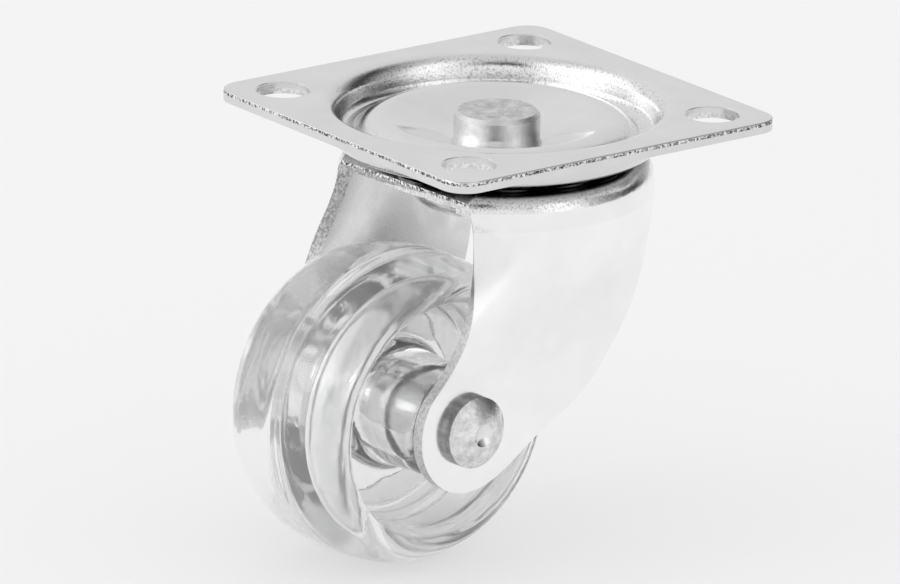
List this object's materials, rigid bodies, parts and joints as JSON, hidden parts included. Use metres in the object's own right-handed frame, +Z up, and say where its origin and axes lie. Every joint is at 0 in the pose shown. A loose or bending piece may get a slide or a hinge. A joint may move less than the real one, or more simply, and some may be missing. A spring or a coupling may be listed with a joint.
{
  "type": "furniture castor",
  "caption": "Small swivel plate castor for furniture: a zinc-plated steel top plate with screw holes, a pressed fork on ball races, and a clear plastic wheel.",
  "frame": {"origin": "middle of the top plate's upper face, on the swivel axis", "axes": "+Z up along the swivel axis, X and Y square to the plate's sides; the fork trails towards -X at rest"},
  "size_m": [0.0468, 0.038, 0.0415],
  "materials": {
    "zinc_plate": "bright zinc plating, satin",
    "rivet_steel": "tumbled zinc plating, mottled",
    "ball_steel": "polished",
    "clear_plastic": "clear moulded plastic, polished"
  },
  "bodies": {
    "base": {"top_plate": "zinc_plate", "kingpin": "rivet_steel", "lower_race_cup": "zinc_plate"},
    "swivel_fork": {"fork": "zinc_plate", "axle": "rivet_steel"},
    "wheel_body": {"wheel": "clear_plastic"},
    "upper_ball_row": {"upper_balls": "ball_steel"},
    "lower_ball_row": {"lower_balls": "ball_steel"}
  },
  "joints": [
    {"name": "swivel", "type": "hinge", "parent": "base", "child": "swivel_fork", "pos_m": [0, 0, 0], "axis": [0, 0, 1], "continuous": true},
    {"name": "wheel_spin", "type": "hinge", "parent": "swivel_fork", "child": "wheel_body", "pos_m": [-0.01286, -0.00098, -0.0267], "axis": [0.0758, -0.9971, 0], "continuous": true},
    {"name": "upper_row_orbit", "type": "hinge", "parent": "base", "child": "upper_ball_row", "pos_m": [0, 0, -0.004], "axis": [0, 0, 1], "continuous": true},
    {"name": "lower_row_orbit", "type": "hinge", "parent": "base", "child": "lower_ball_row", "pos_m": [0, 0, -0.007], "axis": [0, 0, 1], "continuous": true}
  ],
  "couplings": [
    {"joint": "upper_row_orbit", "follows": "swivel", "ratio": 0.5},
    {"joint": "lower_row_orbit", "follows": "swivel", "ratio": 0.5}
  ]
}
